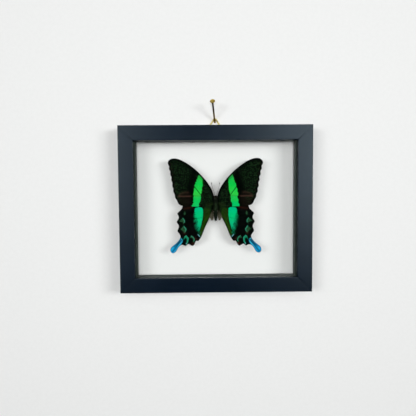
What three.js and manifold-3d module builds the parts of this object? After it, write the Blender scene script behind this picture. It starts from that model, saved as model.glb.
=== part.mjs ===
// A swallowtail butterfly floating between two panes in a mitred wooden frame,
// hung by a brass triangle ring on a brass nail.
//
// Millimetres, +Z up. The wall is the plane y = 0 and the frame faces -Y. The
// origin is where the nail enters the wall, and x = 0 is the plane of symmetry.
import * as THREE from 'three';
import * as BufferGeometryUtils from 'three/addons/utils/BufferGeometryUtils.js';
import Module from 'manifold-3d';

const wasm = await Module();
wasm.setup();

// ---- driving dimensions ----------------------------------------------------
const FRAME_WIDTH = 210;
const FRAME_HEIGHT = 182;
const FRAME_DEPTH = 22;
const RAIL_FACE = 16.4;
const WALL_GAP = 4;
const NAIL_TO_FRAME_TOP = 6.3;

const LIP_THICKNESS = 4.5;
const LIP_REACH = 5;
const EDGE_RADIUS = 0.9;
const MITRE_GAP = 0.06;

const GLASS_THICKNESS = 2;
const SPACER_DEPTH = 10.6;
const UPRIGHT_SPACER_STEP = 1.3;
const STACK_GAP = 0.1;
const RABBET_GAP = 0.3;
const RETAINER_SETBACK = 0.6;

const WING_THICKNESS = 0.4;
const WING_PLANE = 11;
const WING_DROOP = 1.2;
const HINDWING_DROP = 0.75;
const BODY_BEHIND_WINGS = 1.0;

const RING_WIRE = 1.6;
const RING_HALF_BASE = 8;
const RING_CORNER = 2;
const RING_AXIS_BELOW_TOP = 2;
const RING_TO_WALL = 0.05;
const RING_ON_NAIL = 0.35;
const RING_SIDES = 10;
const BARREL_WALL = 0.7;
const BARREL_CLEARANCE = 0.25;
const STRAP_WIDTH = 8;
const STRAP_LENGTH = 8.8;

const SCREW_BELOW_AXIS = 4.9;
const SCREW_SHANK = 2.4;
const SCREW_HOLE = 3;
const SCREW_LENGTH = 8;
const SCREW_HEAD = 4.6;
const SCREW_HEAD_HEIGHT = 1.3;

const NAIL_DIAMETER = 1.9;
const NAIL_OUT = 21;
const NAIL_RISE = 20;
const NAIL_LEAN = -3;
const NAIL_HEAD = 5.6;
const NAIL_BURIED = 13;

// ---- places worked out from them -------------------------------------------
const frameTop = -NAIL_TO_FRAME_TOP;
const frameMiddle = frameTop - FRAME_HEIGHT / 2;
const backY = -WALL_GAP;
const frontY = backY - FRAME_DEPTH;
const lipBackY = frontY + LIP_THICKNESS;
const frontGlassY = lipBackY + STACK_GAP;
const spacerY = frontGlassY + GLASS_THICKNESS + STACK_GAP;
const backGlassY = spacerY + SPACER_DEPTH + STACK_GAP;
const retainerY = backGlassY + GLASS_THICKNESS + STACK_GAP;
const rabbetFace = RAIL_FACE - LIP_REACH;
const wingY = frontY + WING_PLANE;
const bodyY = wingY + BODY_BEHIND_WINGS;
const barrelRadius = RING_WIRE / 2 + BARREL_CLEARANCE + BARREL_WALL;
const ringAxisY = backY + barrelRadius;
const ringAxisZ = frameTop - RING_AXIS_BELOW_TOP;
const strapFaceY = backY + BARREL_WALL;
const screwZ = ringAxisZ - SCREW_BELOW_AXIS;

// ---- materials -------------------------------------------------------------
function material(color, roughness, metalness = 0) {
  return new THREE.MeshStandardMaterial({ color, roughness, metalness });
}
const paintedWood = material(0x222c35, 0.55);
const spacerWood = material(0x5a5f5d, 0.7);
const glass = material(0xdfeae6, 0.05);
glass.transparent = true;
glass.opacity = 0.2;
const forewingScales = material(0x0c3a20, 0.6);
const hindwingScales = material(0x0a5a44, 0.6);
const insectSkin = material(0x101410, 0.7);
const brass = material(0xb9973f, 0.3, 1);
const clearGlue = material(0xe8e4d4, 0.15);

const group = new THREE.Group();

function addMesh(name, geometry, surface) {
  const mesh = new THREE.Mesh(geometry, surface);
  mesh.name = name;
  group.add(mesh);
  return mesh;
}

// ---- solids: joining and closed skins ----------------------------------------
function toManifold(geometry) {
  const bare = geometry.clone();
  bare.deleteAttribute('normal');
  bare.deleteAttribute('uv');
  const merged = BufferGeometryUtils.mergeVertices(bare, 1e-4);
  const vertProperties = new Float32Array(merged.attributes.position.array);
  const triVerts = new Uint32Array(merged.index.array);
  return new wasm.Manifold(new wasm.Mesh({ numProp: 3, vertProperties, triVerts }));
}

function toGeometry(solid) {
  const mesh = solid.getMesh();
  const geometry = new THREE.BufferGeometry();
  geometry.setAttribute('position', new THREE.BufferAttribute(mesh.vertProperties, 3));
  geometry.setIndex(new THREE.BufferAttribute(mesh.triVerts, 1));
  return geometry;
}

function unite(geometries) {
  return toGeometry(geometries.map(toManifold).reduce((whole, piece) => whole.add(piece)));
}

// Skins over rings of points that all have the same count.
function ringPositions(rings) {
  return rings.flatMap((ring) => ring.flatMap((point) => point.toArray()));
}

function sideTriangles(ringCount, count, wrap) {
  const index = [];
  for (let r = 0; r < (wrap ? ringCount : ringCount - 1); r += 1) {
    const next = (r + 1) % ringCount;
    for (let i = 0; i < count; i += 1) {
      const j = (i + 1) % count;
      const corners = [r * count + i, r * count + j, next * count + j, next * count + i];
      index.push(corners[0], corners[1], corners[2], corners[0], corners[2], corners[3]);
    }
  }
  return index;
}

function indexedGeometry(positions, index) {
  const geometry = new THREE.BufferGeometry();
  geometry.setAttribute('position', new THREE.Float32BufferAttribute(positions, 3));
  geometry.setIndex(index);
  return geometry;
}

function loopSkin(rings) {
  return indexedGeometry(ringPositions(rings), sideTriangles(rings.length, rings[0].length, true));
}

function cappedSkin(rings) {
  const count = rings[0].length;
  const positions = ringPositions(rings);
  const index = sideTriangles(rings.length, count, false);
  for (const [ring, turned] of [[0, true], [rings.length - 1, false]]) {
    const middle = rings[ring].reduce((sum, point) => sum.add(point), new THREE.Vector3());
    middle.divideScalar(count);
    const centre = positions.length / 3;
    positions.push(...middle.toArray());
    for (let i = 0; i < count; i += 1) {
      const a = ring * count + i;
      const b = ring * count + ((i + 1) % count);
      index.push(...(turned ? [centre, b, a] : [centre, a, b]));
    }
  }
  return indexedGeometry(positions, index);
}

// A round bar of changing radius through a list of points.
function taperedBar(points, radii, sides) {
  const curve = new THREE.CatmullRomCurve3(points, false, 'centripetal');
  const steps = (points.length - 1) * 2;
  const rings = [];
  const across = new THREE.Vector3(0.31, 0.27, 0.91).normalize();
  for (let s = 0; s <= steps; s += 1) {
    const t = s / steps;
    const along = curve.getTangent(t);
    const u = new THREE.Vector3().crossVectors(across, along).normalize();
    const v = new THREE.Vector3().crossVectors(along, u);
    const place = t * (radii.length - 1);
    const low = Math.min(Math.floor(place), radii.length - 2);
    const radius = THREE.MathUtils.lerp(radii[low], radii[low + 1], place - low);
    const ring = [];
    for (let i = 0; i < sides; i += 1) {
      const turn = (i / sides) * Math.PI * 2;
      const offset = u.clone().multiplyScalar(Math.cos(turn) * radius);
      offset.addScaledVector(v, Math.sin(turn) * radius);
      ring.push(curve.getPoint(t).add(offset));
    }
    rings.push(ring);
  }
  return cappedSkin(rings);
}

function barAlongY(diameter, fromY, toY, z) {
  const bar = new THREE.CylinderGeometry(diameter / 2, diameter / 2, toY - fromY, 20);
  bar.translate(0, (fromY + toY) / 2, z);
  return bar;
}

// ---- frame rails: one moulding, mitred at both ends ---------------------------
function mouldingSection() {
  const section = new THREE.Shape();
  const r = EDGE_RADIUS;
  section.moveTo(0, backY);
  section.lineTo(0, frontY + r);
  section.absarc(r, frontY + r, r, Math.PI, Math.PI * 1.5, false);
  section.lineTo(RAIL_FACE - r, frontY);
  section.absarc(RAIL_FACE - r, frontY + r, r, Math.PI * 1.5, Math.PI * 2, false);
  section.lineTo(RAIL_FACE, lipBackY);
  section.lineTo(rabbetFace, lipBackY);
  section.lineTo(rabbetFace, backY);
  section.closePath();
  return section;
}

// The section's x is the distance in from the outer edge and its y is the depth.
// Each end follows the mitre, so the rail is shorter the further in it lies.
function mitredRail(length, place) {
  const geometry = new THREE.ExtrudeGeometry(mouldingSection(), {
    depth: 1,
    bevelEnabled: false,
    curveSegments: 4,
  });
  const position = geometry.attributes.position;
  for (let i = 0; i < position.count; i += 1) {
    const inward = position.getX(i);
    const depth = position.getY(i);
    const end = position.getZ(i) > 0.5 ? 1 : -1;
    const along = end * (length / 2 - inward - MITRE_GAP);
    position.setXYZ(i, ...place(inward, depth, along));
  }
  return geometry;
}

function makeFrame() {
  const halfWidth = FRAME_WIDTH / 2;
  const rails = {
    frame_top: [FRAME_WIDTH, (s, y, a) => [a, y, frameTop - s]],
    frame_bottom: [FRAME_WIDTH, (s, y, a) => [-a, y, frameTop - FRAME_HEIGHT + s]],
    frame_left: [FRAME_HEIGHT, (s, y, a) => [-halfWidth + s, y, frameMiddle + a]],
    frame_right: [FRAME_HEIGHT, (s, y, a) => [halfWidth - s, y, frameMiddle - a]],
  };
  const pilotHole = barAlongY(SCREW_HOLE, backY - SCREW_LENGTH - 1, backY + 1, screwZ);
  for (const [name, [length, place]] of Object.entries(rails)) {
    const rail = toManifold(mitredRail(length, place));
    addMesh(name, toGeometry(rail.subtract(toManifold(pilotHole))), paintedWood);
  }
}

// ---- what the rabbet holds: panes, spacers and retaining strips ----------------
function block(width, depth, height) {
  return new THREE.BoxGeometry(width, depth, height);
}

function makePane(name, startY) {
  const inset = rabbetFace + RABBET_GAP;
  const pane = addMesh(
    name,
    block(FRAME_WIDTH - inset * 2, GLASS_THICKNESS, FRAME_HEIGHT - inset * 2),
    glass,
  );
  pane.position.set(0, startY + GLASS_THICKNESS / 2, frameMiddle);
}

// Four strips round the opening: the upright ones stand between the level ones, and
// each pair reaches in to an edge of its own.
function makeStrips(name, startY, depth, levelEdge, uprightEdge, surface) {
  const outerEdge = rabbetFace + RABBET_GAP;
  const y = startY + depth / 2;
  const levelMiddle = (levelEdge + outerEdge) / 2;
  for (const [side, sign] of [['top', 1], ['bottom', -1]]) {
    const length = FRAME_WIDTH - outerEdge * 2;
    const strip = addMesh(`${name}_${side}`, block(length, depth, levelEdge - outerEdge), surface);
    strip.position.set(0, y, frameMiddle + sign * (FRAME_HEIGHT / 2 - levelMiddle));
  }
  const uprightMiddle = (uprightEdge + outerEdge) / 2;
  for (const [side, sign] of [['left', -1], ['right', 1]]) {
    const length = FRAME_HEIGHT - (levelEdge + STACK_GAP) * 2;
    const strip = addMesh(`${name}_${side}`, block(uprightEdge - outerEdge, depth, length), surface);
    strip.position.set(sign * (FRAME_WIDTH / 2 - uprightMiddle), y, frameMiddle);
  }
}

// ---- wings ---------------------------------------------------------------------
// Margins of the right wings, as [x, z] from the middle of the frame opening. The
// leading margin and the trailing margin both run from the root to the far tip.
const FOREWING_LEADING = [
  [3.1, 10.2], [2.7, 13.4], [2.7, 17.2], [4.6, 22], [7.3, 26.7], [11.1, 32.1], [17, 38.7],
  [20.8, 42.5], [25.1, 46.1], [29.3, 49.2], [33.6, 51.9], [37.8, 54.1], [41.7, 55.5],
  [45.9, 56], [49.2, 55.4], [51.4, 53.8],
];
const FOREWING_TRAILING = [
  [3.1, 6.4], [6, 4.2], [10.5, 3], [16.8, 2.5], [25.9, 3], [36.2, 3.7], [39.2, 4.6],
  [41.4, 6.4], [42.9, 9.9], [45, 13.2], [45.5, 16.3], [46.8, 19.4], [46.9, 22.6],
  [47.9, 25.8], [47.9, 29], [48.9, 32.2], [48.9, 35.3], [50, 38.4], [50.1, 41.5],
  [51.3, 44.4], [51.4, 47.3], [52.5, 50.2], [52.3, 52.4],
];
const HINDWING_LEADING = [
  [3.2, 4], [6, 6.4], [12, 9.2], [20, 10.2], [28, 9], [33.6, 6.6], [36.6, 3.2], [37.5, 0.6],
  [39.9, -1.9], [42.6, -4.9], [41.4, -7.6], [41.2, -10.1], [43.3, -14.2], [41.4, -17.6],
  [41.2, -20], [42.6, -24.6], [40.6, -27.5], [39.3, -30.8], [42.4, -36.2], [46.6, -39.9],
  [49.9, -42.8], [50.9, -46.1], [49.6, -48.7],
];
const HINDWING_TRAILING = [
  [3.1, 0.6], [2.6, -3], [2.5, -7], [2.8, -10.4], [3.6, -12.4], [4.8, -12.2], [5.6, -10.2],
  [6.5, -9.6], [7.8, -11.6], [9.7, -15.5], [12.1, -20.7], [14.6, -26.9],
  [16.7, -31.5], [18.4, -34.3], [20.2, -35.8], [21.9, -35.4], [23, -37.2], [24.2, -39.7],
  [26.1, -41.1], [28.4, -40.1], [30.4, -39], [32.1, -39.8], [33.8, -41.1], [35.6, -40.2],
  [37.8, -39.8], [40.8, -41.6], [42.9, -44.5], [45, -47.9], [47.9, -49.5],
];
const FOREWING_RIBS = 46;
const HINDWING_RIBS = 62;
const WING_COLUMNS = 5;
const FOLD_DEPTH = 1.7;
const FOLD_REACH = 2.4;
const FOLD_MIDDLE = 2.4;

function marginCurve(points) {
  const corners = points.map(([x, z]) => new THREE.Vector3(x, 0, z));
  const curve = new THREE.CatmullRomCurve3(corners, false, 'centripetal');
  curve.arcLengthDivisions = 800;
  return curve;
}

// The spread wings lie on one shallow arch that falls back towards the tips.
function archY(x) {
  return wingY + WING_DROOP * (x / 52) ** 2;
}

// The hindwing's inner margin folds back beside the abdomen.
function foldY(x) {
  return FOLD_DEPTH * Math.exp(-(((x - FOLD_MIDDLE) / FOLD_REACH) ** 2));
}

function forewingY(x) {
  return archY(x);
}

function hindwingY(x) {
  return archY(x) + HINDWING_DROP + foldY(x);
}

function makeWing(name, side, leading, trailing, ribs, heightAt, surface) {
  const front = marginCurve(leading);
  const back = marginCurve(trailing);
  const rings = [];
  for (let r = 0; r <= ribs; r += 1) {
    const a = front.getPointAt(r / ribs);
    const b = back.getPointAt(r / ribs);
    const upper = [];
    const lower = [];
    for (let c = 0; c <= WING_COLUMNS; c += 1) {
      const across = c / WING_COLUMNS;
      const x = THREE.MathUtils.lerp(a.x, b.x, across);
      const z = THREE.MathUtils.lerp(a.z, b.z, across) + frameMiddle;
      const y = heightAt(x);
      upper.push(new THREE.Vector3(x * side, y, z));
      lower.push(new THREE.Vector3(x * side, y + WING_THICKNESS, z));
    }
    const ring = [...upper, ...lower.reverse()];
    rings.push(side > 0 ? ring : ring.reverse());
  }
  addMesh(name, cappedSkin(rings), surface);
}

function makeWings() {
  for (const [word, side] of [['left', -1], ['right', 1]]) {
    makeWing(
      `forewing_${word}`, side, FOREWING_LEADING, FOREWING_TRAILING,
      FOREWING_RIBS, forewingY, forewingScales,
    );
    makeWing(
      `hindwing_${word}`, side, HINDWING_LEADING, HINDWING_TRAILING,
      HINDWING_RIBS, hindwingY, hindwingScales,
    );
  }
}

// ---- body with head, antennae and folded legs, grown as one --------------------
// Stations down the body: height, half width, half depth, shift back.
const BODY_STATIONS = [
  [14.8, 0.5, 0.5, -0.2], [14.3, 1.3, 1.1, -0.2], [13.3, 1.9, 1.5, -0.1], [12.3, 1.9, 1.4, 0],
  [11.6, 1.9, 1.3, 0], [10.6, 2.1, 2.1, 0], [8.8, 2.6, 2.7, 0], [6.6, 2.8, 2.9, 0],
  [4, 2.7, 2.8, 0], [1.8, 2.3, 2.4, 0], [0, 1.7, 1.8, 0.1], [-1.4, 1.8, 1.9, 0.2],
  [-3.4, 2.1, 2.2, 0.3], [-5.8, 2.1, 2.2, 0.4], [-8.4, 1.8, 1.9, 0.5], [-11, 1.3, 1.4, 0.6],
  [-12.9, 0.8, 0.9, 0.7], [-13.6, 0.3, 0.4, 0.7],
];
const BODY_SIDES = 16;

function bodyPoint(x, y, z) {
  return new THREE.Vector3(x, bodyY + y, frameMiddle + z);
}

function trunk() {
  const rings = BODY_STATIONS.map(([z, halfWidth, halfDepth, shift]) => {
    const ring = [];
    for (let i = 0; i < BODY_SIDES; i += 1) {
      const turn = -(i / BODY_SIDES) * Math.PI * 2;
      ring.push(bodyPoint(Math.cos(turn) * halfWidth, shift + Math.sin(turn) * halfDepth, z));
    }
    return ring;
  });
  return cappedSkin(rings);
}

function antenna(side) {
  const points = [
    bodyPoint(0.6 * side, -0.8, 14), bodyPoint(1.5 * side, -1.3, 17.4),
    bodyPoint(2.8 * side, -1.6, 21.6), bodyPoint(3.9 * side, -1.7, 25.4),
    bodyPoint(4.5 * side, -1.7, 28), bodyPoint(4.7 * side, -1.6, 29.6),
  ];
  return taperedBar(points, [0.3, 0.25, 0.25, 0.28, 0.5, 0.3], 6);
}

// Each leg leaves the breast, bends at a knee and lies folded along the body.
const LEGS = [
  { root: 9.4, knee: [2.5, 3.4, 11.6], shin: [1.7, 4.3, 8.6], foot: [1.3, 4.4, 5.2] },
  { root: 6.6, knee: [3.2, 3.4, 4.4], shin: [2.6, 4.3, 1.2], foot: [2, 4.4, -2.2] },
  { root: 4, knee: [2.4, 3.6, 0.8], shin: [1.4, 4.3, -3.6], foot: [0.9, 4.4, -7.6] },
];

function leg(side, { root, knee, shin, foot }) {
  const points = [
    bodyPoint(0.8 * side, 2, root),
    bodyPoint(knee[0] * side, knee[1], knee[2]),
    bodyPoint(shin[0] * side, shin[1], shin[2]),
    bodyPoint(foot[0] * side, foot[1], foot[2]),
  ];
  return taperedBar(points, [0.5, 0.4, 0.28, 0.2], 6);
}

function makeBody() {
  const pieces = [trunk()];
  for (const side of [-1, 1]) {
    pieces.push(antenna(side));
    for (const shape of LEGS) pieces.push(leg(side, shape));
  }
  addMesh('butterfly_body', unite(pieces), insectSkin);
}

// A bead of clear glue between the breast and the back pane.
const GLUE_RADIUS = 1.1;
const GLUE_HEIGHT_ON_BODY = 3;
const GLUE_START = 3.05;

function makeGlue() {
  const length = backGlassY - STACK_GAP - (bodyY + GLUE_START);
  const bead = addMesh('glue_bead', new THREE.CylinderGeometry(0.8, GLUE_RADIUS, length, 16), clearGlue);
  bead.rotation.x = -Math.PI / 2;
  bead.position.set(0, bodyY + GLUE_START + length / 2, frameMiddle + GLUE_HEIGHT_ON_BODY);
}

// ---- hanger: strap with a barrel, screw, ring and nail ---------------------------
function makeStrap() {
  const half = STRAP_WIDTH / 2;
  const tab = new THREE.Shape();
  tab.moveTo(-half, 0);
  tab.lineTo(half, 0);
  tab.lineTo(half * 0.8, -STRAP_LENGTH + half);
  tab.absarc(0, -STRAP_LENGTH + half * 0.8, half * 0.8, 0, -Math.PI, true);
  tab.closePath();
  const plate = new THREE.ExtrudeGeometry(tab, {
    depth: BARREL_WALL - STACK_GAP,
    bevelEnabled: false,
    curveSegments: 14,
  });
  plate.rotateX(Math.PI / 2);
  plate.translate(0, strapFaceY, ringAxisZ);
  const outer = barrelRadius - STACK_GAP;
  const barrel = new THREE.CylinderGeometry(outer, outer, STRAP_WIDTH, 24);
  barrel.rotateZ(Math.PI / 2);
  barrel.translate(0, ringAxisY, ringAxisZ);
  const bore = new THREE.CylinderGeometry(1, 1, STRAP_WIDTH + 2, 24);
  bore.scale(RING_WIRE / 2 + BARREL_CLEARANCE, 1, RING_WIRE / 2 + BARREL_CLEARANCE);
  bore.rotateZ(Math.PI / 2);
  bore.translate(0, ringAxisY, ringAxisZ);
  const hole = barAlongY(SCREW_HOLE, backY - 1, strapFaceY + 1, screwZ);
  const strap = toManifold(plate).add(toManifold(barrel)).subtract(toManifold(bore));
  addMesh('hanger_strap', toGeometry(strap.subtract(toManifold(hole))), brass);
}

function makeScrew() {
  const seat = strapFaceY + STACK_GAP;
  const r = SCREW_HEAD / 2;
  const profile = [
    [0, -SCREW_LENGTH], [SCREW_SHANK / 2, -SCREW_LENGTH + 2.5], [SCREW_SHANK / 2, 0], [r, 0],
    [r * 0.96, SCREW_HEAD_HEIGHT * 0.45], [r * 0.62, SCREW_HEAD_HEIGHT * 0.9],
    [0, SCREW_HEAD_HEIGHT],
  ];
  const turned = new THREE.LatheGeometry(profile.map(([x, y]) => new THREE.Vector2(x, y)), 20);
  const slot = block(SCREW_HEAD + 1, 1.2, 0.7);
  slot.translate(0, SCREW_HEAD_HEIGHT + 0.1, 0);
  const screw = toGeometry(toManifold(turned).subtract(toManifold(slot)));
  const mesh = addMesh('hanger_screw', screw, brass);
  mesh.position.set(0, seat, screwZ);
}

// A closed triangle of wire with round corners, standing on its base.
function triangleCorners(height) {
  return [
    new THREE.Vector2(-RING_HALF_BASE, 0),
    new THREE.Vector2(RING_HALF_BASE, 0),
    new THREE.Vector2(0, height),
  ];
}

function roundedPath(corners, radius, steps) {
  const path = [];
  corners.forEach((corner, i) => {
    const before = corners[(i + corners.length - 1) % corners.length];
    const after = corners[(i + 1) % corners.length];
    const toBefore = before.clone().sub(corner).normalize();
    const toAfter = after.clone().sub(corner).normalize();
    const half = Math.acos(toBefore.dot(toAfter)) / 2;
    const centre = toBefore.clone().add(toAfter).normalize();
    centre.multiplyScalar(radius / Math.sin(half)).add(corner);
    const start = toBefore.multiplyScalar(radius / Math.tan(half)).add(corner).sub(centre);
    const sweep = Math.PI - half * 2;
    for (let s = 0; s <= steps; s += 1) {
      path.push(start.clone().rotateAround(new THREE.Vector2(), (sweep * s) / steps).add(centre));
    }
  });
  return path;
}

function makeRing() {
  const nailSlope = NAIL_RISE / NAIL_OUT;
  const apexY = -RING_WIRE / 2 - RING_TO_WALL;
  const overNail = (NAIL_DIAMETER / 2 + RING_WIRE / 2 + RING_ON_NAIL) / Math.cos(Math.atan(nailSlope));
  const apexZ = -apexY * nailSlope + overNail;
  const lean = Math.atan2(apexY - ringAxisY, apexZ - ringAxisZ);
  const height = Math.hypot(apexY - ringAxisY, apexZ - ringAxisZ);
  const tipAngle = Math.atan(RING_HALF_BASE / height);
  const sharpHeight = height + RING_CORNER / Math.sin(tipAngle) - RING_CORNER;
  const path = roundedPath(triangleCorners(sharpHeight), RING_CORNER, 6);
  const rings = path.map((point, i) => {
    const before = path[(i + path.length - 1) % path.length];
    const after = path[(i + 1) % path.length];
    const along = after.clone().sub(before).normalize();
    const ring = [];
    for (let k = 0; k < RING_SIDES; k += 1) {
      const turn = (k / RING_SIDES) * Math.PI * 2;
      const reach = (Math.cos(turn) * RING_WIRE) / 2;
      const proud = (Math.sin(turn) * RING_WIRE) / 2;
      ring.push(new THREE.Vector3(point.x - along.y * reach, -proud, point.y + along.x * reach));
    }
    return ring;
  });
  const wire = toManifold(loopSkin(rings));
  const mesh = addMesh('hanger_ring', toGeometry(wire), brass);
  mesh.rotation.x = -lean;
  mesh.position.set(0, ringAxisY, ringAxisZ);
}

function makeNail() {
  const shaft = NAIL_DIAMETER / 2;
  const visible = Math.hypot(NAIL_LEAN, NAIL_OUT, NAIL_RISE);
  const r = NAIL_HEAD / 2;
  const profile = [
    [0, -NAIL_BURIED], [shaft, -NAIL_BURIED + 3.2], [shaft, visible - 2.2], [r * 0.55, visible - 1.8],
    [r, visible - 1.2], [r * 0.97, visible - 0.2], [r * 0.74, visible + 0.5], [r * 0.4, visible + 0.95],
    [0, visible + 1.1],
  ];
  const nail = new THREE.LatheGeometry(profile.map(([x, y]) => new THREE.Vector2(x, y)), 20);
  const direction = new THREE.Vector3(NAIL_LEAN, -NAIL_OUT, NAIL_RISE).normalize();
  const mesh = addMesh('hanging_nail', nail, brass);
  mesh.quaternion.setFromUnitVectors(new THREE.Vector3(0, 1, 0), direction);
}

makeFrame();
makePane('front_glass', frontGlassY);
makePane('back_glass', backGlassY);
makeStrips('spacer', spacerY, SPACER_DEPTH, RAIL_FACE, RAIL_FACE + UPRIGHT_SPACER_STEP, spacerWood);
const retainerEdge = RAIL_FACE - RETAINER_SETBACK;
makeStrips('retainer', retainerY, backY - retainerY, retainerEdge, retainerEdge, paintedWood);
makeWings();
makeBody();
makeGlue();
makeStrap();
makeScrew();
makeRing();
makeNail();

export default group;
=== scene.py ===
import math

import bmesh
import bpy
import numpy as np
from mathutils import Matrix, Vector


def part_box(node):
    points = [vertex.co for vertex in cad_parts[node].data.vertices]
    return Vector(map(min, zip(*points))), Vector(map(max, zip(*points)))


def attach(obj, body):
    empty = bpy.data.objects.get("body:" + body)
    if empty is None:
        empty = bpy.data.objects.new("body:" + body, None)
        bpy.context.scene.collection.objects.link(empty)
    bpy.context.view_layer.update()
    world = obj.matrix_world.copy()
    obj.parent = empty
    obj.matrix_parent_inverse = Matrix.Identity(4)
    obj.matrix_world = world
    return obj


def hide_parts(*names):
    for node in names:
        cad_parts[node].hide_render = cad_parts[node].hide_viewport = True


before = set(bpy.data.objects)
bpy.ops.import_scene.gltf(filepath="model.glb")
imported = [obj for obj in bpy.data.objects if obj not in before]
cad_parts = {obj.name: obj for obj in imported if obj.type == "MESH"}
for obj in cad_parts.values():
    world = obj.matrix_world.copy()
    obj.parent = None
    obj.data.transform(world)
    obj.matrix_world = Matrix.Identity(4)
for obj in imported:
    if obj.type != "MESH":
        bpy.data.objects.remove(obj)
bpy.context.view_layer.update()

# Lengths are in millimetres until a mesh is made. The wall is y = 0, the frame faces -Y,
# and wing outlines are [x, z] from the middle of the frame opening.
MM = 0.001
SPECIMEN = "framed_specimen"
HANGER = "wall_hanger"

FRAME_WIDTH = 210
FRAME_HEIGHT = 182
FRAME_TOP = -6.3
FRAME_MIDDLE = FRAME_TOP - FRAME_HEIGHT / 2
BACK_Y = -4
FRONT_Y = -26
RAIL_FACE = 16.4
LIP_THICKNESS = 4.5
LIP_REACH = 5
EDGE_RADIUS = 0.9
BACK_RADIUS = 0.35
MITRE_GAP = 0.01
MITRE_OPENING = 0.3
# Rings at a rail's end: distance back from the mitre, and how far the section shrinks there.
MITRE_RINGS = [(0, 0.14), (0.04, 0.05), (0.09, 0), (4, 0)]

WING_Y = -15
WING_DROOP = 1.2
ARCH_HALF_SPAN = 52
HINDWING_DROP = 0.75
FOLD_DEPTH = 1.7
FOLD_REACH = 2.4
BODY_Y = -14


# ---- curves and distances ------------------------------------------------------------
def unit(vectors):
    return vectors / np.linalg.norm(vectors, axis=-1, keepdims=True)


def smooth_curve(points, samples, closed=False):
    """Evenly spaced points along a centripetal Catmull-Rom curve."""
    points = np.asarray(points, float)
    if closed:
        padded = np.vstack([points[-1], points, points[:2]])
    else:
        padded = np.vstack([2 * points[0] - points[1], points, 2 * points[-1] - points[-2]])
    dense = []
    for i in range(1, len(padded) - 2):
        p0, p1, p2, p3 = padded[i - 1 : i + 3]
        t1 = np.linalg.norm(p1 - p0) ** 0.5
        t2 = t1 + np.linalg.norm(p2 - p1) ** 0.5
        t3 = t2 + np.linalg.norm(p3 - p2) ** 0.5
        t = np.linspace(t1, t2, 24, endpoint=False)[:, None]
        a1 = ((t1 - t) * p0 + t * p1) / t1
        a2 = ((t2 - t) * p1 + (t - t1) * p2) / (t2 - t1)
        a3 = ((t3 - t) * p2 + (t - t2) * p3) / (t3 - t2)
        b1 = ((t2 - t) * a1 + t * a2) / t2
        b2 = ((t3 - t) * a2 + (t - t1) * a3) / (t3 - t1)
        dense.append(((t2 - t) * b1 + (t - t1) * b2) / (t2 - t1))
    dense = np.vstack([*dense, padded[-2:-1]])
    steps = np.linalg.norm(np.diff(dense, axis=0), axis=1)
    lengths = np.concatenate([[0], np.cumsum(steps)])
    even = np.linspace(0, lengths[-1], samples)
    return np.column_stack([np.interp(even, lengths, column) for column in dense.T])


def ease(value, low, high):
    """Rises smoothly from 0 at low to 1 at high."""
    t = np.clip((value - low) / (high - low), 0, 1)
    return t * t * (3 - 2 * t)


def bell(distance, width):
    return np.exp(-((distance / width) ** 2))


def line_distance(points, line):
    """Distance from each point to an open polyline."""
    line = np.asarray(line, float)
    nearest = np.full(len(points), 1e9)
    for start, end in zip(line[:-1], line[1:]):
        along = end - start
        share = np.clip(((points - start) @ along) / max(along @ along, 1e-12), 0, 1)
        offset = points - start - share[:, None] * along
        nearest = np.minimum(nearest, np.hypot(*offset.T))
    return nearest


def nearest_of(points, lines):
    return np.min([line_distance(points, line) for line in lines], axis=0)


def depth_in(points, outline):
    """Distance to a closed outline, above zero inside it."""
    outline = np.asarray(outline, float)
    x, z = points.T
    inside = np.zeros(len(points), bool)
    for (x0, z0), (x1, z1) in zip(outline, np.roll(outline, -1, axis=0)):
        crosses = (z0 > z) != (z1 > z)
        inside ^= crosses & (x < (x1 - x0) * (z - z0) / (z1 - z0 + 1e-12) + x0)
    distance = line_distance(points, np.vstack([outline, outline[:1]]))
    return np.where(inside, distance, -distance)


def round_outline(points, samples=60):
    return smooth_curve(points, samples + 1, closed=True)[:-1]


def arc(centre, radius, start, end, steps):
    turn = np.radians(np.linspace(start, end, steps + 1))
    return [(centre[0] + radius * math.cos(t), centre[1] + radius * math.sin(t)) for t in turn]


def normals_of(along):
    """Unit normals, in their own plane, of the steps along a flat path."""
    along = unit(along)
    return np.column_stack([along[:, 1], -along[:, 0]])


# ---- meshes --------------------------------------------------------------------------
ASKEW = (0.31, 0.27, 0.91)


def skin(rings, wrap=False):
    """Vertices and faces over rings of points that all have the same count."""
    rings = np.asarray(rings, float)
    rows, sides = rings.shape[:2]
    here = np.arange(rows * sides).reshape(rows, sides)
    beside = np.roll(here, -1, axis=1)
    stop = rows if wrap else rows - 1
    below, below_beside = (np.roll(grid, -1, axis=0)[:stop] for grid in (here, beside))
    faces = np.stack([here[:stop], beside[:stop], below_beside, below], -1).reshape(-1, 4).tolist()
    if not wrap:
        faces += [here[0].tolist()[::-1], here[-1].tolist()]
    return rings.reshape(-1, 3), faces


def joined(parts):
    """Several (vertices, faces) pairs as one."""
    faces = []
    count = 0
    for points, polygons in parts:
        faces += [[index + count for index in polygon] for polygon in polygons]
        count += len(points)
    return np.vstack([points for points, _ in parts]), faces


def circle(normal, side, sides):
    turn = np.arange(sides) / sides * 2 * math.pi
    return np.outer(np.cos(turn), normal) + np.outer(np.sin(turn), side)


def tube(path, radii, sides, wrap=False):
    """A round bar along a path, as skin() gives it."""
    if wrap:
        tangents = unit(np.roll(path, -1, axis=0) - np.roll(path, 1, axis=0))
    else:
        tangents = unit(np.gradient(path, axis=0))
    normal = np.cross(tangents[0], ASKEW)
    rings = []
    for point, tangent, radius in zip(path, tangents, np.broadcast_to(radii, len(path))):
        normal = unit(normal - tangent * (normal @ tangent))
        rings.append(point + radius * circle(normal, np.cross(tangent, normal), sides))
    return skin(rings, wrap)


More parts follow.
